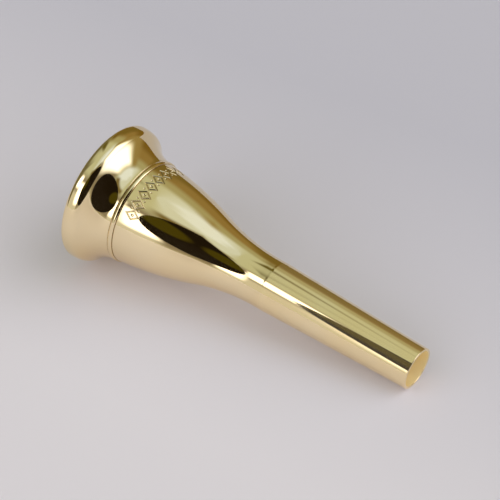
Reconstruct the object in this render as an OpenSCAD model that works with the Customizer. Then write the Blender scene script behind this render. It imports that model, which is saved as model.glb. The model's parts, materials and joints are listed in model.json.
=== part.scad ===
// French horn mouthpiece with a screw rim, lying on its lip and its shank end.
//
// Every piece is turned about one axis. Its outline is drawn as [radius, station] points, where the
// station is the distance along the axis from the plane of the rim's crown towards the shank's end.
// lay_down() then tips that axis into the resting position: +X runs from the rim to the shank's end,
// +Z is up, and the origin is under the middle of the whole mouthpiece, on the surface it lies on.

/* [Rim] */
// Outer diameter of the rim
rim_d = 25.4; // [25:0.1:25.8]
// Inner diameter of the rim, at the bite
cup_d = 17.5; // [17:0.1:18]
// Diameter of the rim's highest circle
crown_d = 20.0; // [19.8:0.1:20.4]
// Radius of the face outside the crown
face_round = 5.0; // [4.5:0.1:5.5]
// Radius of the face inside the crown
bite_face_round = 2.2; // [2:0.1:2.6]
// Radius of the outer edge
edge_round = 0.8; // [0.6:0.1:1]
// Radius of the inner edge
bite_round = 0.7; // [0.5:0.1:0.9]
// Station where the lip's outer band ends
band_end = 2.5; // [2.4:0.05:2.6]
// Slope of the band at its end, in degrees
band_slope = 11; // [10:1:12]
// Radius of the shoulder between the band and the flare
shoulder_round = 1.9; // [1.7:0.1:2.1]
// Steepest slope of the flare, behind the shoulder, in degrees
flare_slope = 49; // [47:1:50]
// Slope of the flare where it meets the waist, in degrees
waist_slope = 6; // [4:1:8]
// Station where the rim ends and the waist ring begins
rim_len = 8.25; // [8.2:0.05:8.3]

/* [Waist ring] */
// Width of the ring along the axis
ring_w = 0.85; // [0.8:0.05:0.9]
// Outer diameter of the ring
ring_d = 19.25; // [19.2:0.05:19.4]
// Running clearance between the ring and the spigot's collar
ring_gap = 0.04; // [0.03:0.01:0.06]

/* [Screw thread] */
// Outer diameter of the rim's thread
thread_d = 16.4; // [16.2:0.1:16.5]
// Pitch of the thread
pitch = 0.7056; // [0.7:0.0028:0.7056]
// Radial clearance between the two threads
thread_gap = 0.09; // [0.08:0.01:0.1]
// Station where the spigot ends
spigot_end = 12.6; // [12.4:0.1:12.8]

/* [Cup and shank] */
// Diameter of the cup body just behind the ring
body_d = 18.7; // [18.6:0.1:18.9]
// Slope of the body just behind the ring, in degrees
body_slope = 5; // [4:0.5:6]
// Steepest slope of the body, in degrees
steep_slope = 18.5; // [18:0.5:19]
// Station of the steepest slope
steep_at = 23.2; // [23:0.1:23.4]
// Station where the tapered shank begins
shank_at = 36.3; // [36:0.1:36.7]
// Diameter of the shank where it begins
shank_d = 9.04; // [9:0.02:9.1]
// Diameter of the shank's end
shank_end_d = 7.46; // [7.4:0.02:7.6]
// Length of the whole mouthpiece
total_len = 65.0; // [64:0.5:66]

/* [Bore] */
// Diameter of the throat
throat_d = 4.7; // [4.4:0.1:5]
// Station where the cup ends in the throat
throat_at = 27.5; // [26.5:0.5:28.5]
// Length of the straight throat
throat_len = 3.0; // [2:0.5:4]
// How much the cup's wall curves: 1 is a straight cone
cup_curve = 1.15; // [1.05:0.05:1.25]
// Diameter of the backbore at the shank's end
backbore_d = 6.6; // [6.4:0.1:6.8]

/* [Engraving] */
// Number of lozenges, in an arc on the upper side
lozenge_count = 8; // [5:1:10]
// Angle about the axis from one lozenge to the next
lozenge_step = 12.5; // [11.5:0.5:14]
// Angle about the axis of the lowest lozenge
lozenge_from = 221; // [216:1:226]
// Depth of the engraving
engrave_depth = 0.1; // [0.06:0.02:0.12]
// Station of the lozenges' middle
band_at = 11.3; // [11.1:0.1:11.6]
// Height of a lozenge along the axis
lozenge_h = 2.3; // [1.9:0.1:2.5]

/* [Resting position] */
// Turn about its own axis in which the mouthpiece lies, in degrees
rest_roll = 9; // [6:1:12]

/* [Hidden] */
$fn = 96;

gold = [0.86, 0.69, 0.36];
gold_dark = [0.78, 0.61, 0.30];

// Gap between faces that are screwed together
seat_gap = 0.01;
// Small chamfer that breaks the turned corners
corner = 0.1;

rim_r = rim_d / 2;
cup_r = cup_d / 2;
crown_r = crown_d / 2;
ring_r = ring_d / 2;
body_r = body_d / 2;
throat_r = throat_d / 2;
backbore_r = backbore_d / 2;
shank_end_r = shank_end_d / 2;

// Stations of the ring's two faces and of the cup's top face
ring_at = rim_len;
ring_end = ring_at + ring_w;
cup_at = ring_end + seat_gap;

// Rim face: an arc about the crown, then a small arc that ends parallel to the axis
edge_c = rounding_centre(face_round, edge_round, crown_r, rim_r - edge_round);
bite_c = rounding_centre(bite_face_round, bite_round, crown_r, cup_r + bite_round);
edge_turn = atan2(edge_c[0] - crown_r, face_round - edge_c[1]);
bite_turn = atan2(crown_r - bite_c[0], bite_face_round - bite_c[1]);

// Lip band: a flat arc from the widest circle, then the shoulder's tight arc
band_round = (band_end - edge_c[1]) / sin(band_slope);
band_r = rim_r - band_round * (1 - cos(band_slope));
shoulder_c = [band_r - shoulder_round * cos(band_slope), band_end - shoulder_round * sin(band_slope)];
flare_r = shoulder_c[0] + shoulder_round * cos(flare_slope);
flare_at = shoulder_c[1] + shoulder_round * sin(flare_slope);

// Flare: one hollow arc from the shoulder to the waist
flare_round = (rim_len - flare_at) / (sin(flare_slope) - sin(waist_slope));
flare_c = [flare_r + flare_round * cos(flare_slope), flare_at + flare_round * sin(flare_slope)];
waist_r = flare_c[0] - flare_round * cos(waist_slope);

// Body: a swelling arc down to the steepest slope, then a hollow arc that ends along the axis
belly_round = (steep_at - cup_at) / (sin(steep_slope) - sin(body_slope));
steep_r = body_r - belly_round * (cos(body_slope) - cos(steep_slope));
neck_r = shank_d / 2 - 0.04;
hollow_round = (steep_r - neck_r) / (1 - cos(steep_slope));
neck_at = steep_at + hollow_round * sin(steep_slope);

// Thread: 60 degree flanks cut off flat at the crest and the root
thread_r = thread_d / 2;
thread_depth = 0.61 * pitch;
flat_w = pitch / 6;
flank_w = pitch / 3;
thread_steps = 36;
collar_r = thread_r + 0.02;
collar_end = ring_end - 0.12;
thread_end = spigot_end - 0.2;
core_r = thread_r - thread_depth - 0.12;
socket_r = thread_r + thread_gap - thread_depth - 0.06;
socket_end = spigot_end + 0.1;
relief_r = thread_r + thread_gap + 0.06;

// Resting position: a line touches the lip's edge and the shank's last corner
rest_corner_r = shank_end_r + corner * (shank_d / 2 - shank_end_r) / (total_len - shank_at);
rest_run = total_len - corner - edge_c[1];
rest_drop = edge_c[0] - rest_corner_r;
lean = atan2(rest_drop, rest_run) + asin(edge_round / norm([rest_run, rest_drop]));
axis_height = (total_len - corner) * sin(lean) + rest_corner_r * cos(lean);
reach_back = face_round * (1 - cos(lean)) + crown_r * sin(lean);
reach_front = total_len * cos(lean) + (shank_end_r - corner) * sin(lean);
axis_start = (reach_back - reach_front) / 2;

// Centre of a small arc inside a face arc of radius big about the crown, at a given radius
function rounding_centre(big, small, middle_r, small_r) =
    [small_r, big - sqrt(pow(big - small, 2) - pow(small_r - middle_r, 2))];

// Points of an arc, with the angle measured from the direction of the rim's face
function arc(centre, radius, from, to, steps) = [
    for (i = [0:steps])
        let (a = from + (to - from) * i / steps)
        [centre[0] + radius * sin(a), centre[1] - radius * cos(a)]
];

// Radius of the cup's wall at a station
function cup_wall(s) =
    throat_r + (cup_r - throat_r) * pow(1 - (s - bite_c[1]) / (throat_at - bite_c[1]), cup_curve);

// Points along the cup's wall
function cup_points(from, to, steps) = [
    for (i = [0:steps])
        let (s = from + (to - from) * i / steps)
        [cup_wall(s), s]
];

function reversed(points) = [for (i = [len(points) - 1:-1:0]) points[i]];

// Radius of the body's swelling arc at a station
function belly_r(s) =
    body_r - belly_round * (cos(body_slope) - cos(asin(sin(body_slope) + (s - cup_at) / belly_round)));

function belly_points(steps) = [
    for (i = [0:steps])
        let (a = body_slope + (steep_slope - body_slope) * i / steps)
        [body_r - belly_round * (cos(body_slope) - cos(a)),
         cup_at + belly_round * (sin(a) - sin(body_slope))]
];

function hollow_points(steps) = [
    for (i = [1:steps])
        let (a = steep_slope * (1 - i / steps))
        [steep_r - hollow_round * (cos(a) - cos(steep_slope)),
         steep_at + hollow_round * (sin(steep_slope) - sin(a))]
];

// Points of the flare, from behind the shoulder to just short of the waist's chamfer
function flare_points(steps) = [
    for (i = [1:steps])
        let (a = flare_slope + (waist_slope - flare_slope) * i / steps)
        let (p = [flare_c[0] - flare_round * cos(a), flare_c[1] - flare_round * sin(a)])
        if (p[1] < rim_len - 2 * corner) p
];

module lay_down() {
    translate([axis_start, 0, axis_height])
        rotate([0, 90 + lean, 0])
            rotate([0, 0, rest_roll])
                children();
}

// Rod with a right-hand thread, between two stations. grow widens it, to cut the matching socket.
module threaded_rod(from, to, grow) {
    crest_r = thread_r + grow;
    root_r = crest_r - thread_depth;
    turns = ceil((to - from) / pitch) + 2;
    base = from - from % pitch - 2 * pitch;
    row = 4 * turns + 5;
    radii = [root_r, root_r, crest_r, crest_r];
    rises = [0, flat_w, flat_w + flank_w, 2 * flat_w + flank_w];
    column = [
        for (i = [0:thread_steps - 1])
            for (k = [0:row - 1])
                let (a = 360 * i / thread_steps)
                let (z = base + pitch * (floor(k / 4) + i / thread_steps) + rises[k % 4])
                [radii[k % 4] * cos(a), radii[k % 4] * sin(a), z]
    ];
    low = len(column);
    high = low + 1;
    last = row - 5;
    ends = [[0, 0, base], [0, 0, base + pitch * (turns + 1)]];
    // The column after the last one is the first column again, four points (one pitch) further up
    sides = [
        for (i = [0:thread_steps - 1])
            for (k = [0:last - 1])
                let (here = i * row + k)
                let (next = i < thread_steps - 1 ? here + row : k + 4)
                for (face = [[here, here + 1, next + 1], [here, next + 1, next]])
                    face
    ];
    caps = [
        for (i = [0:thread_steps - 1])
            let (here = i * row)
            let (next = i < thread_steps - 1 ? here + row : 4)
            for (face = [[low, here, next], [high, next + last, here + last]])
                face
    ];
    steps_faces = [
        for (k = [0:3])
            for (face = [[low, k + 1, k], [high, last + k, last + k + 1]])
                face
    ];
    intersection() {
        polyhedron(points = concat(column, ends), faces = concat(sides, caps, steps_faces));
        translate([0, 0, from])
            cylinder(r = crest_r + 1, h = to - from);
    }
}

// Rim with its lip, flare and upper cup, and the threaded spigot that screws into the cup
module screw_rim() {
    outline = concat(
        reversed(arc([crown_r, bite_face_round], bite_face_round, 0, -bite_turn, 6)),
        arc([crown_r, face_round], face_round, 0, edge_turn, 6),
        arc(edge_c, edge_round, edge_turn, 90, 8),
        arc([rim_r - band_round, edge_c[1]], band_round, 90, 90 + band_slope, 5),
        arc(shoulder_c, shoulder_round, 90 + band_slope, 90 + flare_slope, 6),
        flare_points(12),
        [[waist_r + corner * tan(waist_slope), rim_len - corner],
         [waist_r - corner, rim_len - seat_gap],
         [collar_r, rim_len - seat_gap],
         [collar_r, collar_end],
         [core_r, collar_end],
         [core_r, spigot_end - corner],
         [core_r - corner, spigot_end]],
        reversed(cup_points(bite_c[1], spigot_end, 6)),
        reversed(arc(bite_c, bite_round, -bite_turn, -90, 6))
    );
    color(gold)
        lay_down() {
            rotate_extrude()
                polygon(outline);
            difference() {
                threaded_rod(collar_end - 0.2, thread_end, 0);
                translate([0, 0, collar_end - 1])
                    cylinder(r = core_r - 0.1, h = spigot_end);
            }
        }
}

// Spacer ring with a rounded outside, loose on the spigot's collar
module waist_ring() {
    hole_r = collar_r + ring_gap;
    shoulder_r = ring_r - 0.16;
    bulge = ring_r - shoulder_r;
    bulge_round = (ring_w * ring_w / 4 + bulge * bulge) / (2 * bulge);
    bulge_turn = asin(ring_w / 2 / bulge_round);
    middle = (ring_at + ring_end) / 2;
    outline = concat(
        [[hole_r, ring_end], [hole_r, ring_at]],
        arc([ring_r - bulge_round, middle], bulge_round, 90 - bulge_turn, 90 + bulge_turn, 8)
    );
    color(gold_dark)
        lay_down()
            rotate_extrude()
                polygon(outline);
}

// One engraved lozenge, cut square to the body's surface
module lozenge_cut() {
    half_w = 0.7;
    surface_r = belly_r(band_at);
    slope = asin(sin(body_slope) + (band_at - cup_at) / belly_round);
    translate([surface_r - engrave_depth, 0, band_at])
        rotate([0, -slope, 0])
            rotate([90, 0, 90])
                linear_extrude(height = 1)
                    polygon([[0, -lozenge_h / 2], [half_w, 0], [0, lozenge_h / 2], [-half_w, 0]]);
}

// Lower cup with its socket, the throat, the backbore and the tapered shank
module cup_and_shank() {
    throat_end = throat_at + throat_len;
    shank_r = shank_d / 2;
    outline = concat(
        [[relief_r + 0.05, cup_at], [body_r - corner, cup_at]],
        [[belly_r(cup_at + corner), cup_at + corner]],
        [for (p = belly_points(12)) if (p[1] > cup_at + 2 * corner) p],
        hollow_points(12),
        [[neck_r, shank_at - 0.1],
         [shank_r, shank_at],
         [rest_corner_r, total_len - corner],
         [shank_end_r - corner, total_len],
         [backbore_r, total_len],
         [throat_r, throat_end]],
        reversed(cup_points(socket_end, throat_at, 8)),
        [[relief_r, socket_end],
         [relief_r, thread_end],
         [socket_r, thread_end - 0.1],
         [socket_r, cup_at + 0.5]]
    );
    color(gold)
        lay_down()
            difference() {
                rotate_extrude()
                    polygon(outline);
                threaded_rod(cup_at - 0.3, socket_end - 0.1, thread_gap);
                for (i = [0:lozenge_count - 1])
                    rotate([0, 0, lozenge_from - lozenge_step * i])
                        lozenge_cut();
            }
}

screw_rim();
waist_ring();
cup_and_shank();
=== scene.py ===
import json
import math

import bpy
import numpy as np
from mathutils import Matrix, Vector


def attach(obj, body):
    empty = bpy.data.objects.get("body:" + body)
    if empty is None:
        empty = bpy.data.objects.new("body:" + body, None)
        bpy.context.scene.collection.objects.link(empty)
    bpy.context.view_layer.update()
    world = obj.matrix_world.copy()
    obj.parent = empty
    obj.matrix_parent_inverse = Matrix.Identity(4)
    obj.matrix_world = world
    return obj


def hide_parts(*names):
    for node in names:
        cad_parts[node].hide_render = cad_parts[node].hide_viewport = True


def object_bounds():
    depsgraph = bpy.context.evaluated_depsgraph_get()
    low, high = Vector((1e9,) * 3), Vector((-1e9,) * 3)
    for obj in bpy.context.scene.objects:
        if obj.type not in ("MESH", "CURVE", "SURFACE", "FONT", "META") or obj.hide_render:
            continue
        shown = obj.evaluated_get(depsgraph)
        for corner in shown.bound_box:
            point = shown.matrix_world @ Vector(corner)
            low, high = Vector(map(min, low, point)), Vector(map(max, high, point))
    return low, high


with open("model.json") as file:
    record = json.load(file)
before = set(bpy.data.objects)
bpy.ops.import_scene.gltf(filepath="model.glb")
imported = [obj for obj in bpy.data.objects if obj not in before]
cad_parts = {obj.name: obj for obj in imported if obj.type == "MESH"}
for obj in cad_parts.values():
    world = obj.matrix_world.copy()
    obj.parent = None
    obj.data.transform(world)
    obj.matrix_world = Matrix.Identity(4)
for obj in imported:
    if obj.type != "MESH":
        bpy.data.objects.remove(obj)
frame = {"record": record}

cad_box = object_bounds()

# Driving dimensions in millimetres, the same as the CAD source's. A station is the distance along the
# turning axis from the plane of the rim's crown towards the shank's end.
MM = 0.001

rim_d = 25.4
cup_d = 17.5
crown_d = 20.0
face_round = 5.0
bite_face_round = 2.2
edge_round = 0.8
bite_round = 0.7
band_end = 2.5
band_slope = 11.0
shoulder_round = 1.9
flare_slope = 49.0
waist_slope = 6.0
rim_len = 8.25

ring_w = 0.85
ring_d = 19.25
ring_gap = 0.04

thread_d = 16.4
pitch = 0.7056
thread_gap = 0.09
spigot_end = 12.6

body_d = 18.7
body_slope = 5.0
steep_slope = 18.5
steep_at = 23.2
shank_at = 36.3
shank_d = 9.04
shank_end_d = 7.46
total_len = 65.0

throat_d = 4.7
throat_at = 27.5
throat_len = 3.0
cup_curve = 1.15
backbore_d = 6.6

lozenge_count = 8
lozenge_step = 12.5
lozenge_from = 221.0
engrave_depth = 0.1
band_at = 11.3
lozenge_h = 2.3
lozenge_w = 1.5
groove_side = 0.13
groove_half = 0.03
dot_r = 0.14
spacer_r = 0.05
spacer_at = 0.6  # height of the dots between, in half heights of a lozenge

rest_roll = 9.0

# Mesh density: columns around the axis, and finer columns in the engraved band. Rows are given run by run.
around = 264
around_band = 6 * around

# Roundings, and the small steps between fitted surfaces
corner = 0.12
end_round = 0.1
seat_gap = 0.01
collar_step = 0.02
collar_sunk = 0.12
core_step = 0.12
relief_step = 0.06
mouth_step = 0.05
socket_play = 0.1
shank_step = 0.01
bore_lip = 0.05

# Depth of the thread in pitches, and the lengths left without thread at the spigot's end, at the socket's
# mouth and at its bottom
thread_share = 0.61
plain_end = 0.2
lead_in = 0.5
lead_out = 0.1

# Width of the crease in front of the shank, and the margin of fine mesh beside the engraving
crease_w = 0.45
band_margin = 0.25

# Painted shade in cut grooves and thread roots: how much they darken, from 0 to 1
groove_grime = 0.35

# Derived outline values
rim_r, cup_r, crown_r = (d / 2 for d in (rim_d, cup_d, crown_d))
ring_r, body_r, throat_r, backbore_r = (d / 2 for d in (ring_d, body_d, throat_d, backbore_d))
shank_r, shank_end_r, thread_r = (d / 2 for d in (shank_d, shank_end_d, thread_d))
ring_at = rim_len
ring_end = ring_at + ring_w
cup_at = ring_end + seat_gap
thread_depth = thread_share * pitch
thread_end = spigot_end - plain_end
collar_r = thread_r + collar_step
collar_end = ring_end - collar_sunk
core_r = thread_r - thread_depth - core_step
socket_end = spigot_end + socket_play
relief_r = thread_r + thread_gap + relief_step
throat_end = throat_at + throat_len


def sin(degrees):
    return math.sin(math.radians(degrees))


def cos(degrees):
    return math.cos(math.radians(degrees))


def line(a, b, rows=1):
    """Straight stretch of an outline, as (radius, station) and outward normal at each row's end."""
    t = np.linspace(0, 1, rows + 1)[:, None]
    points = np.array(a) * (1 - t) + np.array(b) * t
    along = np.array(b, float) - np.array(a, float)
    normal = np.array([along[1], -along[0]]) / np.linalg.norm(along)
    return points, np.repeat(normal[None], rows + 1, 0)


def arc(centre, radius, start, stop, rows, hollow=False):
    """Round stretch. Angles are in degrees from the direction of the rim's face towards the outside."""
    a = np.radians(np.linspace(start, stop, rows + 1))
    out = np.stack([np.sin(a), -np.cos(a)], 1)
    return np.array(centre) + radius * out, -out if hollow else out


def curve(radius_at, start, stop, rows, sign):
    """Stretch given as a radius at each station. sign is 1 on an outside surface and -1 in a bore."""
    s = np.linspace(start, stop, rows + 1)
    nudge = 1e-4
    slope = (radius_at(s + nudge) - radius_at(s - nudge)) / (2 * nudge)
    normal = sign * np.stack([np.ones_like(s), -slope], 1) / np.sqrt(1 + slope**2)[:, None]
    return np.stack([radius_at(s), s], 1), normal


def rounding_centre(big, small, middle_r, small_r):
    """Centre of a small arc inside a face arc of radius big about the crown."""
    return small_r, big - math.sqrt((big - small) ** 2 - (small_r - middle_r) ** 2)


edge_c = rounding_centre(face_round, edge_round, crown_r, rim_r - edge_round)
bite_c = rounding_centre(bite_face_round, bite_round, crown_r, cup_r + bite_round)
edge_turn = math.degrees(math.atan2(edge_c[0] - crown_r, face_round - edge_c[1]))
bite_turn = math.degrees(math.atan2(crown_r - bite_c[0], bite_face_round - bite_c[1]))

# Lip band, shoulder and flare: three arcs that meet in line
band_round = (band_end - edge_c[1]) / sin(band_slope)
band_r = rim_r - band_round * (1 - cos(band_slope))
shoulder_c = (band_r - shoulder_round * cos(band_slope), band_end - shoulder_round * sin(band_slope))
flare_r = shoulder_c[0] + shoulder_round * cos(flare_slope)
flare_at = shoulder_c[1] + shoulder_round * sin(flare_slope)
flare_round = (rim_len - flare_at) / (sin(flare_slope) - sin(waist_slope))

belly_round = (steep_at - cup_at) / (sin(steep_slope) - sin(body_slope))
steep_r = body_r - belly_round * (cos(body_slope) - cos(steep_slope))
neck_r = shank_r - shank_step
hollow_round = (steep_r - neck_r) / (1 - cos(steep_slope))
neck_at = steep_at + hollow_round * sin(steep_slope)


def flare_radius(s):
    """Radius of the flare's hollow arc at a station."""
    turn = np.arcsin(sin(flare_slope) - (s - flare_at) / flare_round)
    return flare_r - flare_round * (np.cos(turn) - cos(flare_slope))


def belly_radius(s):
    """Radius of the body's swelling arc at a station."""
    turn = np.arcsin(sin(body_slope) + (s - cup_at) / belly_round)
    return body_r - belly_round * (cos(body_slope) - np.cos(turn))


def hollow_radius(s):
    """Radius of the body's hollow arc, between the steepest slope and the shank."""
    turn = np.arcsin(np.clip(sin(steep_slope) - (s - steep_at) / hollow_round, -1, 1))
    return steep_r - hollow_round * (np.cos(turn) - cos(steep_slope))


def cup_radius(s):
    """Radius of the cup's wall at a station."""
    share = np.maximum(1 - (s - bite_c[1]) / (throat_at - bite_c[1]), 0)
    return throat_r + (cup_r - throat_r) * share**cup_curve


# Resting place of the turning axis, from the throat mount of the record
throat = next(m for m in frame["record"]["mounts"] if m["name"] == "throat")
axis_x = -Vector(throat["axis"]).normalized()
axis_origin = Vector(throat["pos_m"]) - axis_x * (throat_at + throat_len / 2) * MM
side_y = Vector((0, 1, 0))
up_z = axis_x.cross(side_y).normalized()
# Local axes of each piece: Z along the turning axis, Y across, X towards the table
placement = (Matrix.Translation(axis_origin) @ Matrix((-up_z, side_y, axis_x)).transposed().to_4x4()
             @ Matrix.Rotation(math.radians(rest_roll), 4, "Z"))


def swept_normals(normal, columns):
    """An outline's normal turned to each column."""
    angles = np.arange(columns) * 2 * np.pi / columns
    along = np.full(columns, normal[1])
    return np.stack([normal[0] * np.cos(angles), normal[0] * np.sin(angles), along], -1)


def moved_normals(grid, outline_normals):
    """Normals of a moved grid, from its own points, on the same side as the outline's normals."""
    across = np.roll(grid, -1, 1) - np.roll(grid, 1, 1)
    along = np.gradient(grid, axis=0)
    normal = np.cross(across, along)
    normal /= np.linalg.norm(normal, axis=-1, keepdims=True)
    wanted = np.stack([swept_normals(n, grid.shape[1]) for n in outline_normals])
    return normal * np.sign((normal * wanted).sum(-1, keepdims=True))


def swept_run(stretch):
    """Points and painted shade of a run swept round the axis, and a function that gives a row's normals."""
    points, outline_normals = stretch["outline"]
    columns = stretch.get("columns", around)
    angles = np.arange(columns) * 2 * np.pi / columns
    radius = np.repeat(points[:, :1], columns, 1)
    station = np.repeat(points[:, 1:], columns, 1)
    grime = np.full(radius.shape, stretch.get("grime", 0.0))
    shift = stretch.get("shift")
    if shift:
        moved, grime = shift(np.broadcast_to(angles, radius.shape), station)
        radius = radius + moved
    grid = np.stack([radius * np.cos(angles), radius * np.sin(angles), station], -1)
    grid_normals = moved_normals(grid, outline_normals) if shift else None

    def normals_on(row, size):
        if shift:
            return grid_normals[row][:: columns // size]
        return swept_normals(outline_normals[row], size)

    return grid, grime, normals_on


# Places of the finishes in a piece's list of materials
POLISHED, TURNED, SHANK, BORED = range(4)


class Turned:
    """Mesh data of one closed body of revolution, built run by run along its outline."""

    def __init__(self):
        self.points, self.grime, self.faces, self.normals, self.materials = [], [], [], [], []
        self.count = 0

    def add_ring(self, points, grime):
        """Adds a ring of vertices and returns its first index and its size."""
        self.points.append(points)
        self.grime.append(grime)
        self.count += len(points)
        return self.count - len(points), len(points)

    def join(self, ring_a, ring_b, normals_a, normals_b, material):
        """Faces between two rings. Where one ring is finer, each face takes in its extra points."""
        (start_a, size_a), (start_b, size_b) = ring_a, ring_b
        size = min(size_a, size_b)
        step_a, step_b = size_a // size, size_b // size
        for i in range(size):
            on_a = [(i * step_a + k) % size_a for k in range(step_a + 1)]
            on_b = [(i * step_b + k) % size_b for k in range(step_b, -1, -1)]
            self.faces.append([start_a + k for k in on_a] + [start_b + k for k in on_b])
            self.normals += [normals_a[k] for k in on_a] + [normals_b[k] for k in on_b]
            self.materials.append(material)

    def add_runs(self, runs):
        """Adds every run. Each starts on the last ring of the one before, and the last ends on the first."""
        first = previous = None
        for index, stretch in enumerate(runs):
            grid, grime, normals_on = swept_run(stretch)
            closes = index == len(runs) - 1
            rings = []
            for row in range(len(grid)):
                if row == 0 and previous:
                    rings.append(previous)
                elif row == len(grid) - 1 and closes:
                    rings.append(first)
                else:
                    rings.append(self.add_ring(grid[row], grime[row]))
                first = first or rings[0]
            material = stretch.get("material", POLISHED)
            for row, (a, b) in enumerate(zip(rings, rings[1:])):
                self.join(a, b, normals_on(row, a[1]), normals_on(row + 1, b[1]), material)
            previous = rings[-1]

    def mesh(self, name, materials):
        """Mesh in metres, with the outline's own normals and the painted shade of grooves, crevices and
        joints as an attribute of its points.
        """
        made = bpy.data.meshes.new(name)
        made.from_pydata((np.concatenate(self.points) * MM).tolist(), [], self.faces)
        for material in materials:
            made.materials.append(material)
        made.polygons.foreach_set("material_index", self.materials)
        made.polygons.foreach_set("use_smooth", [True] * len(self.faces))
        grime = made.attributes.new("grime", "FLOAT", "POINT")
        grime.data.foreach_set("value", np.concatenate(self.grime).astype(np.float32))
        made.update()
        made.normals_split_custom_set(np.array(self.normals).tolist())
        return made


def added(name, data):
    """A new object of the scene."""
    made = bpy.data.objects.new(name, data)
    bpy.context.scene.collection.objects.link(made)
    return made


def turned_piece(name, runs, body, node, materials):
    """A visible piece turned from an outline, which rides on a body and stands for a CAD node."""
    turned = Turned()
    turned.add_runs(runs)
    piece = added(name, turned.mesh(name, materials))
    piece.matrix_world = placement
    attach(piece, body)
    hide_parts(node)
    return piece


def run(outline, **more):
    """A run of an outline. It may also give its columns, shift, painted shade and material."""
    return dict(outline=outline, **more)


def ramp(x, start, stop):
    """Smooth step from 0 at start to 1 at stop."""
    t = np.clip((x - start) / (stop - start), 0, 1)
    return t * t * (3 - 2 * t)


def thread_between(inner, outer):
    """Moves that turn a cylinder at the thread's root into a right-hand thread between two stations, with
    painted shade in the roots.
    """
    # The root's flat, the rising flank, the crest's flat and the falling flank, in shares of the pitch
    flat, flank = 1 / 6, 1 / 3

    def shift(angle, station):
        phase = (station / pitch - angle / (2 * np.pi)) % 1
        rise = np.clip((phase - flat) / flank, 0, 1)
        fall = np.clip((phase - (2 * flat + flank)) / flank, 0, 1)
        height = ramp(rise, 0, 1) * (1 - ramp(fall, 0, 1))
        fade = ramp(station, inner, inner + pitch) * ramp(station, outer, outer - pitch)
        return thread_depth * height * fade, groove_grime * (1 - height) * fade

    return shift


def engraving(angle, station):
    """Cuts of the engraved arc: lozenge outlines with a dot inside and small dots between them, with painted
    shade in the cuts.
    """
    half_w, half_h = lozenge_w / 2, lozenge_h / 2
    band_r = belly_radius(np.array(band_at))
    steps = (math.radians(lozenge_from) - angle) / math.radians(lozenge_step)
    on_lozenge = np.clip(np.round(steps), 0, lozenge_count - 1)
    on_gap = np.clip(np.round(steps - 0.5), 0, lozenge_count - 2) + 0.5
    across = (steps - on_lozenge) * math.radians(lozenge_step) * band_r
    beside = (steps - on_gap) * math.radians(lozenge_step) * band_r
    along = station - band_at
    reach = 1 / math.hypot(1 / half_w, 1 / half_h)
    lozenge = np.abs(np.abs(across) / half_w + np.abs(along) / half_h - 1) * reach - groove_half
    dot = np.hypot(across, along) - dot_r
    spacer = np.hypot(beside, np.abs(along) - half_h * spacer_at) - spacer_r
    cut = 1 - ramp(np.minimum.reduce([lozenge, dot, spacer]), 0.0, groove_side)
    return -engrave_depth * cut, groove_grime * cut


def outside_corner(end_s, radius_at, slope, size, rows=6):
    """Round corner between an outside surface and the flat face behind it at a station."""
    centre_s = end_s - size
    start_s = centre_s - size * cos(90 + slope)
    start_r = float(radius_at(np.array(start_s)))
    return start_s, arc((start_r - size * sin(90 + slope), centre_s), size, 90 + slope, 180, rows)


def rim_runs():
    """Outline of the rim: bite, crown, edge, lip band, flare, seat, collar, spigot and upper cup."""
    wall_turn = math.degrees(math.atan(cup_curve * (cup_r - throat_r) / (throat_at - bite_c[1])))
    bite_from = wall_turn - 90
    wall_top = bite_c[1] - bite_round * cos(bite_from)
    wall_end = float(cup_radius(spigot_end))
    seat_s = rim_len - seat_gap
    waist_from, waist_corner = outside_corner(seat_s, flare_radius, waist_slope, corner)
    seat_r = waist_corner[0][-1][0]
    root_r = thread_r - thread_depth
    chamfer_s, chamfer_r = spigot_end - corner, core_r - corner
    # Painted shade darkens the waist corner, the seat, the collar and the steps by the thread
    return [
        run(arc((crown_r, bite_face_round), bite_face_round, -bite_turn, 0, rows=10)),
        run(arc((crown_r, face_round), face_round, 0, edge_turn, rows=14)),
        run(arc(edge_c, edge_round, edge_turn, 90, rows=14)),
        run(arc((rim_r - band_round, edge_c[1]), band_round, 90, 90 + band_slope, rows=16)),
        run(arc(shoulder_c, shoulder_round, 90 + band_slope, 90 + flare_slope, rows=20)),
        run(curve(flare_radius, flare_at, waist_from, rows=48, sign=1)),
        run(waist_corner, grime=0.15),
        run(line((seat_r, seat_s), (collar_r, seat_s), rows=4), grime=0.4, material=TURNED),
        run(line((collar_r, seat_s), (collar_r, collar_end), rows=4), grime=0.2, material=TURNED),
        run(line((collar_r, collar_end), (root_r, collar_end), rows=2), grime=0.5, material=TURNED),
        run(line((root_r, collar_end), (root_r, thread_end), rows=92), material=TURNED,
            shift=thread_between(collar_end, thread_end)),
        run(line((root_r, thread_end), (core_r, thread_end)), grime=0.3, material=TURNED),
        run(line((core_r, thread_end), (core_r, chamfer_s), rows=2), grime=0.2, material=TURNED),
        run(line((core_r, chamfer_s), (chamfer_r, spigot_end)), material=TURNED),
        run(line((chamfer_r, spigot_end), (wall_end, spigot_end), rows=2), material=TURNED),
        run(curve(cup_radius, spigot_end, wall_top, rows=40, sign=-1)),
        run(arc(bite_c, bite_round, bite_from, -bite_turn, rows=10)),
    ]


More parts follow.
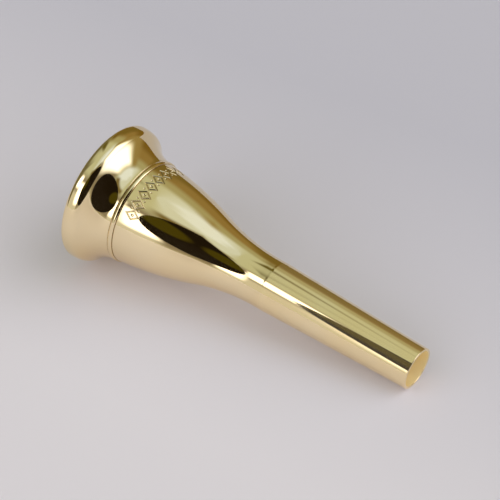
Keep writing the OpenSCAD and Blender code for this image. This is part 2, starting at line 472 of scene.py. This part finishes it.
def ring_runs():
    """Outline of the waist ring: a flat ring with a rounded outside."""
    hole_r = collar_r + ring_gap
    bulge = 0.16
    bulge_round = (ring_w**2 / 4 + bulge**2) / (2 * bulge)
    middle = (ring_at + ring_end) / 2
    edge = 0.06
    rise = ring_w / 2 - edge
    reach = math.sqrt((bulge_round - edge) ** 2 - rise**2)
    corner_r = ring_r - bulge_round + reach
    turn = math.degrees(math.atan2(reach, rise))
    # Painted shade darkens the flat faces between the parts and the ring's small edges
    return [
        run(line((hole_r, ring_at), (corner_r, ring_at), rows=4), grime=0.6),
        run(arc((corner_r, ring_at + edge), edge, 0, turn, rows=4), grime=0.1),
        run(arc((ring_r - bulge_round, middle), bulge_round, turn, 180 - turn, rows=24)),
        run(arc((corner_r, ring_end - edge), edge, 180 - turn, 180, rows=4), grime=0.2),
        run(line((corner_r, ring_end), (hole_r, ring_end), rows=4), grime=0.6),
        run(line((hole_r, ring_end), (hole_r, ring_at), rows=4), grime=0.2),
    ]


def shank_radius(s):
    """Radius of the shank's taper at a station."""
    return shank_r + (shank_end_r - shank_r) * (s - shank_at) / (total_len - shank_at)


def crease_radius(s):
    """Radius of the shallow crease in front of the shank."""
    return neck_r + (shank_r - neck_r) * ramp(s, shank_at - crease_w, shank_at)


def body_runs():
    """Outline of the cup and shank: the outside from the cup's top to the shank's end, then the inside."""
    band_from = band_at - lozenge_h / 2 - band_margin
    band_to = band_at + lozenge_h / 2 + band_margin
    mouth_r = relief_r + mouth_step
    top_c = (float(belly_radius(np.array(cup_at))) - corner, cup_at + corner)
    belly_from = top_c[1] + corner * sin(body_slope)
    taper = math.degrees(math.atan((shank_r - shank_end_r) / (total_len - shank_at)))
    shank_to, end_corner = outside_corner(total_len, shank_radius, taper, end_round)
    lip_r, lip_s = backbore_r + bore_lip, total_len - bore_lip
    socket_r = float(cup_radius(socket_end))
    root_r = thread_r + thread_gap - thread_depth
    thread_from, thread_to = cup_at + lead_in, thread_end - lead_out
    # Painted shade darkens the cup's top face and its corner
    outside = [
        run(line((mouth_r, cup_at), (top_c[0], cup_at), rows=4), grime=0.6, material=TURNED),
        run(arc(top_c, corner, 0, 90 + body_slope, rows=6), grime=0.15),
        run(curve(belly_radius, belly_from, band_from, rows=8, sign=1)),
        run(curve(belly_radius, band_from, band_to, rows=72, sign=1), columns=around_band, shift=engraving),
        run(curve(belly_radius, band_to, steep_at, rows=60, sign=1)),
        run(curve(hollow_radius, steep_at, neck_at, rows=60, sign=1)),
        run(line((neck_r, neck_at), (neck_r, shank_at - crease_w), rows=2)),
        run(curve(crease_radius, shank_at - crease_w, shank_at, rows=8, sign=1)),
        run(line((shank_r, shank_at), (float(shank_radius(shank_to)), shank_to), rows=40), material=SHANK),
        run(end_corner, material=SHANK),
        run(line((end_corner[0][-1][0], total_len), (lip_r, total_len), rows=2)),
    ]
    # Painted shade darkens the socket's steps and its thread roots
    inside = [
        run(line((lip_r, total_len), (backbore_r, lip_s))),
        run(line((backbore_r, lip_s), (throat_r, throat_end), rows=40), material=BORED),
        run(line((throat_r, throat_end), (throat_r, throat_at), rows=4), material=BORED),
        run(curve(cup_radius, throat_at, socket_end, rows=36, sign=-1)),
        run(line((socket_r, socket_end), (relief_r, socket_end), rows=3), grime=0.5, material=TURNED),
        run(line((relief_r, socket_end), (relief_r, thread_end), rows=2), grime=0.5, material=TURNED),
        run(line((relief_r, thread_end), (root_r, thread_to), rows=2), grime=0.4, material=TURNED),
        run(line((root_r, thread_to), (root_r, thread_from), rows=78), material=TURNED,
            shift=thread_between(thread_from, thread_to)),
        run(line((root_r, thread_from), (mouth_r, cup_at), rows=2), grime=0.3, material=TURNED),
    ]
    return outside + inside


# Materials

GOLD = (0.95, 0.79, 0.50, 1)
GOLD_TURNED = (0.90, 0.72, 0.45, 1)
GOLD_BORED = (0.98, 0.85, 0.48, 1)
# Dark brown of the random tarnish specks, and of the painted shade in grooves, crevices and joints
TARNISH_AND_SHADE = (0.16, 0.10, 0.035, 1)
# Factors on the plate's colour where it is cloudy
WARMER = (1.0, 0.97, 0.9, 1)
# Noise scales, per millimetre. Turning streaks are long around the axis and fine along it.
STREAKS_AROUND = 0.4
STREAKS_ALONG = 9
CLOUDS = 0.09
SPECKS = 2.2

# Table colours with painted light falloff: lighter near the front, darker and bluer far back
TABLE_PAINTED_LIT_NEAR = (0.827, 0.80, 0.827, 1)
TABLE_PAINTED_SHADE_FAR = (0.625, 0.62, 0.678, 1)
# Depths in metres between which the table's painted light falloff fades from near to far, its fibres' scale
# per metre and its half size
TABLE_PAINTED_FALLOFF = (-0.03, 0.06)
TABLE_FIBRES = 900.0
TABLE_HALF = 1.5

# Sockets of a colour Mix node
MIX_A, MIX_B, MIX_RESULT = 6, 7, 2


class Nodes:
    """A node tree, with short calls to add and link nodes."""

    def __init__(self, tree):
        self.nodes = tree.nodes
        self.links = tree.links

    def add(self, kind, inputs=None, **settings):
        node = self.nodes.new(kind)
        for key, value in settings.items():
            setattr(node, key, value)
        for key, value in (inputs or {}).items():
            self.put(node.inputs[key], value)
        return node

    def put(self, socket, value):
        """Links a node's output to the socket, or sets the socket's own value."""
        if isinstance(value, bpy.types.NodeSocket):
            self.links.new(value, socket)
        else:
            socket.default_value = value

    def noise(self, vector, scale, detail=2.0, roughness=0.5):
        values = {"Vector": vector, "Scale": scale, "Detail": detail, "Roughness": roughness}
        return self.add("ShaderNodeTexNoise", values).outputs["Fac"]

    def remap(self, value, low, high, to_low=0.0, to_high=1.0, **settings):
        ranges = {"From Min": low, "From Max": high, "To Min": to_low, "To Max": to_high}
        return self.add("ShaderNodeMapRange", {"Value": value, **ranges}, **settings).outputs["Result"]

    def mix(self, share, a, b):
        node = self.add("ShaderNodeMix", {"Factor": share, MIX_A: a, MIX_B: b}, data_type="RGBA")
        return node.outputs[MIX_RESULT]

    def math(self, operation, *values):
        return self.add("ShaderNodeMath", dict(enumerate(values)), operation=operation).outputs[0]


class Shader(Nodes):
    """The node tree of a new material."""

    def __init__(self, name):
        self.material = bpy.data.materials.new(name)
        self.material.use_nodes = True
        super().__init__(self.material.node_tree)

    def surface(self, values):
        """Sets or links the surface's own sockets, and returns the material."""
        for key, value in values.items():
            self.put(self.nodes["Principled BSDF"].inputs[key], value)
        return self.material


def gold_plate(name, colour, roughness, streak_depth, metallic=1.0):
    """Polished gold plate. Its noise follows the piece's own axes, with Z along the turning axis. Its
    painted shade attribute darkens it towards dark brown and roughens it.
    """
    shader = Shader(name)
    local = shader.add("ShaderNodeTexCoord").outputs["Object"]
    in_mm = shader.add("ShaderNodeMapping", {"Vector": local, "Scale": (1 / MM,) * 3}).outputs["Vector"]
    turning = (STREAKS_AROUND / MM, STREAKS_AROUND / MM, STREAKS_ALONG / MM)
    stretched = shader.add("ShaderNodeMapping", {"Vector": local, "Scale": turning}).outputs["Vector"]
    streaks = shader.noise(stretched, 1.0, detail=3.0)
    clouds = shader.noise(in_mm, CLOUDS)
    specks = shader.noise(in_mm, SPECKS, detail=4.0, roughness=0.6)
    # Painted shade: darker in grooves, crevices and joints, read from the mesh
    grime = shader.add("ShaderNodeAttribute", attribute_name="grime").outputs["Fac"]

    warmer = tuple(c * f for c, f in zip(colour, WARMER))
    tone = shader.mix(shader.remap(clouds, 0.35, 0.65), colour, warmer)
    tone = shader.mix(shader.remap(specks, 0.66, 0.8, 0, 0.12), tone, TARNISH_AND_SHADE)
    # Painted shade darkens the plate towards dark brown here, and roughens it below
    tone = shader.mix(grime, tone, TARNISH_AND_SHADE)
    rough = shader.remap(streaks, 0.3, 0.7, roughness * 0.8, roughness * 1.3)
    rough = shader.math("ADD", rough, shader.remap(clouds, 0.4, 0.7, 0, roughness * 0.3))
    rough = shader.math("ADD", rough, shader.math("MULTIPLY", grime, 0.3))
    bump = shader.add("ShaderNodeBump", {"Strength": 1.0, "Distance": streak_depth * MM, "Height": streaks})
    return shader.surface({"Base Color": tone, "Roughness": rough, "Metallic": metallic,
                           "Normal": bump.outputs["Normal"]})


def table_top():
    """Smooth pale table, with painted light falloff: lighter towards the front."""
    shader = Shader("table_top")
    place = shader.add("ShaderNodeTexCoord").outputs["Object"]
    depth = shader.add("ShaderNodeSeparateXYZ", {"Vector": place}).outputs["Y"]
    fibres = shader.noise(place, TABLE_FIBRES, detail=4.0)
    # Painted light falloff: lighter towards the front
    tone = shader.mix(shader.remap(depth, *TABLE_PAINTED_FALLOFF), TABLE_PAINTED_LIT_NEAR, TABLE_PAINTED_SHADE_FAR)
    rough = shader.remap(fibres, 0.3, 0.7, 0.5, 0.6)
    bump = shader.add("ShaderNodeBump", {"Strength": 0.15, "Distance": 0.02 * MM, "Height": fibres})
    return shader.surface({"Base Color": tone, "Roughness": rough, "Specular IOR Level": 0.25,
                           "Normal": bump.outputs["Normal"]})


polished = gold_plate("gold_plate_polished", GOLD, 0.035, 0.00025)
turned_gold = gold_plate("gold_plate_turned", GOLD_TURNED, 0.16, 0.003)
shank_gold = gold_plate("gold_plate_shank", GOLD, 0.04, 0.00025, metallic=0.94)
bored_gold = gold_plate("gold_plate_bored", GOLD_BORED, 0.5, 0.004, metallic=0.55)

turned_piece("screw_rim_visual", rim_runs(), "rim_body", "screw_rim",
             [polished, turned_gold])
turned_piece("waist_ring_visual", ring_runs(), "ring_body", "waist_ring", [polished])
turned_piece("cup_and_shank_visual", body_runs(), "cup_body", "cup_and_shank",
             [polished, turned_gold, shank_gold, bored_gold])


# Studio: the surroundings are painted on the world as soft patches of light and shade. Azimuth 0 is towards
# the front (-Y) and 90 is towards +X. Angles are in degrees and lengths in metres.

SIDES = (0.26, 0.23, 0.17)
OVERHEAD = (0.54, 0.58, 0.42)
BACKDROP = (0.55, 0.55, 0.58)
# Elevations between which the sides turn into what is overhead
RISE = (45, 62)

# Camera: where the view comes from, its roll, distance and aim, and the focal length in millimetres
VIEW_AZIMUTH = 37.34
VIEW_ELEVATION = 39.49
VIEW_ROLL = -2.21
VIEW_DISTANCE = 0.3984
AIM_FROM_MIDDLE = Vector((-1.99, 1.895, -1.06)) * MM
LENS = 171.09

# Dark card: where it hangs, what it faces, its half sizes and its tones
CARD_MIDDLE = Vector((0.110, -0.1265, 0.0895))
CARD_AZIMUTH = 25
CARD_ELEVATION = 50
CARD_TILT = -3
CARD_HALF_W = 0.150
CARD_HALF_H = 0.116
CARD_TONE = (0.012, 0.008, 0.004, 1)
# Paler olive spot near the card's upper left, mirrored in the shank
CARD_PALE_AT = (-0.098, 0.054, 0)
CARD_PALE_FADE = (0.028, 0.040)
CARD_PALE_TONE = (0.06, 0.05, 0.004, 1)


def world_patches():
    """Each patch: middle azimuth and elevation, half width and height, softness of both, and colour."""
    return [
        # Ceiling, bluish white over the right side
        (95, 76, 85, 18, 14, 8, (0.66, 0.75, 0.74)),
        (110, 70, 45, 11, 14, 5, (0.80, 0.93, 1.08)),
        # Dim room on the left
        (-90, 20, 58, 50, 6, 12, (0.16, 0.15, 0.08)),
        # Room behind the table, browner downwards, with darker posts on both sides
        (180, 44, 42, 14, 10, 8, (0.39, 0.38, 0.21)),
        (180, 24, 42, 16, 10, 8, (0.28, 0.20, 0.065)),
        (180, 0, 42, 14, 10, 8, (0.19, 0.12, 0.02)),
        (-137, 64, 9, 12, 5, 8, (0.13, 0.11, 0.02)),
        (-156, 10, 11, 28, 5, 10, (0.18, 0.13, 0.03)),
        (-151, 42, 7, 10, 5, 8, (0.16, 0.11, 0.02)),
        (151, 24, 10, 34, 7, 10, (0.31, 0.24, 0.09)),
        # Front: table edge in shade, and the dim wall above the dark card
        (40, -1, 60, 3, 10, 3, (0.45, 0.43, 0.33)),
        (40, 59, 36, 5, 8, 4, (0.20, 0.16, 0.06)),
        # Softbox on the right
        (117, 34, 29, 25, 6, 7, (0.56, 0.54, 0.36)),
        (115, 33, 25, 20, 8, 8, (1.90, 1.95, 2.10)),
        # Softbox on the left front, brightest on its right
        (-16, 10, 16, 16, 4, 6, (0.65, 0.64, 0.56)),
        (-6, 25, 7, 17, 3, 4, (2.5, 2.5, 2.4)),
        (-20, 41, 6, 9, 3, 4, (2.8, 2.8, 2.7)),
    ]


def lamps():
    """The softboxes' full strength, which lights the table but isn't mirrored in the gold."""
    return [
        (115, 40, 40, 26, 14, 10, (1.72, 1.68, 1.80)),
        (-25, 38, 30, 22, 14, 10, (1.32, 1.28, 1.40)),
        (40, 15, 60, 14, 14, 8, (2.2, 2.15, 2.3)),
    ]


def paint_world():
    """Paints the patches and lamps on the world. The camera sees the plain backdrop instead."""
    world = bpy.data.worlds.new("studio")
    bpy.context.scene.world = world
    world.use_nodes = True
    sky = Nodes(world.node_tree)
    degrees = 180 / math.pi
    direction = sky.add("ShaderNodeTexCoord").outputs["Generated"]
    xyz = sky.add("ShaderNodeSeparateXYZ", {"Vector": direction}).outputs
    front = sky.math("MULTIPLY", xyz["Y"], -1.0)
    azimuth = sky.math("MULTIPLY", sky.math("ARCTAN2", xyz["X"], front), degrees)
    elevation = sky.math("MULTIPLY", sky.math("ARCSINE", xyz["Z"]), degrees)
    path = sky.add("ShaderNodeLightPath").outputs

    def smooth(value, low, high):
        return sky.remap(value, low, high, interpolation_type="SMOOTHSTEP")

    def paint(colour, patch, amount=1.0):
        middle, height, half_width, half_height, soft_width, soft_height, tone = patch
        aside = sky.math("ABSOLUTE", sky.math("WRAP", sky.math("SUBTRACT", azimuth, middle), 180.0, -180.0))
        above = sky.math("ABSOLUTE", sky.math("SUBTRACT", elevation, height))
        share = sky.math("MULTIPLY", smooth(aside, half_width + soft_width, half_width - soft_width),
                         smooth(above, half_height + soft_height, half_height - soft_height))
        return sky.mix(sky.math("MULTIPLY", share, amount), colour, (*tone, 1))

    colour = sky.mix(smooth(elevation, *RISE), (*SIDES, 1), (*OVERHEAD, 1))
    for patch in world_patches():
        colour = paint(colour, patch)
    unless_glossy = sky.math("SUBTRACT", 1.0, path["Is Glossy Ray"])
    for patch in lamps():
        colour = paint(colour, patch, unless_glossy)
    colour = sky.mix(path["Is Camera Ray"], colour, (*BACKDROP, 1))
    sky.put(sky.nodes["Background"].inputs["Color"], colour)


def towards(azimuth, elevation):
    """Unit vector from the object towards a place around it."""
    return Vector((sin(azimuth) * cos(elevation), -cos(azimuth) * cos(elevation), sin(elevation)))


def stage_sheet(name, points, material):
    """A flat sheet of the stage, in its own plane."""
    mesh = bpy.data.meshes.new(name)
    mesh.from_pydata(points, [], [tuple(range(len(points)))])
    mesh.materials.append(material)
    sheet = added(name, mesh)
    return sheet


def card_material():
    """Black card with a paler olive spot. It gives its own faint light and mirrors nothing."""
    shader = Shader("dark_card")
    place = shader.add("ShaderNodeTexCoord").outputs["Object"]
    off = shader.add("ShaderNodeVectorMath", {0: place, 1: CARD_PALE_AT}, operation="DISTANCE")
    pale = shader.remap(off.outputs["Value"], *CARD_PALE_FADE, 1, 0)
    return shader.surface({"Base Color": (0, 0, 0, 1), "Specular IOR Level": 0.0, "Emission Strength": 1.0,
                           "Emission Color": shader.mix(pale, CARD_TONE, CARD_PALE_TONE)})


def hang_dark_card():
    """Black oval card between the object and the camera, seen only in reflections."""
    points = [(CARD_HALF_W * cos(a), CARD_HALF_H * sin(a), 0) for a in range(0, 360, 4)]
    card = stage_sheet("dark_card", points, card_material())
    facing = towards(CARD_AZIMUTH, CARD_ELEVATION).to_track_quat("Z", "Y").to_matrix().to_4x4()
    card.matrix_world = (Matrix.Translation(CARD_MIDDLE) @ facing
                         @ Matrix.Rotation(math.radians(CARD_TILT), 4, "Z"))
    for kind in ("camera", "diffuse", "transmission", "volume_scatter", "shadow"):
        setattr(card, "visible_" + kind, False)


def place_camera():
    """Camera at the viewing angle, aimed from the middle of the object's box."""
    camera = added("camera", bpy.data.cameras.new("camera"))
    camera.data.lens = LENS
    camera.data.clip_start = 0.01
    back = towards(VIEW_AZIMUTH, VIEW_ELEVATION)
    aim = (cad_box[0] + cad_box[1]) / 2 + AIM_FROM_MIDDLE
    camera.matrix_world = (Matrix.Translation(aim + back * VIEW_DISTANCE)
                           @ (-back).to_track_quat("-Z", "Y").to_matrix().to_4x4()
                           @ Matrix.Rotation(math.radians(VIEW_ROLL), 4, "Z"))
    bpy.context.scene.camera = camera


paint_world()
hang_dark_card()
table_corners = [(x * TABLE_HALF, y * TABLE_HALF, 0) for x, y in ((-1, -1), (1, -1), (1, 1), (-1, 1))]
stage_sheet("table", table_corners, table_top())
place_camera()
bpy.context.scene.view_settings.view_transform = "Standard"
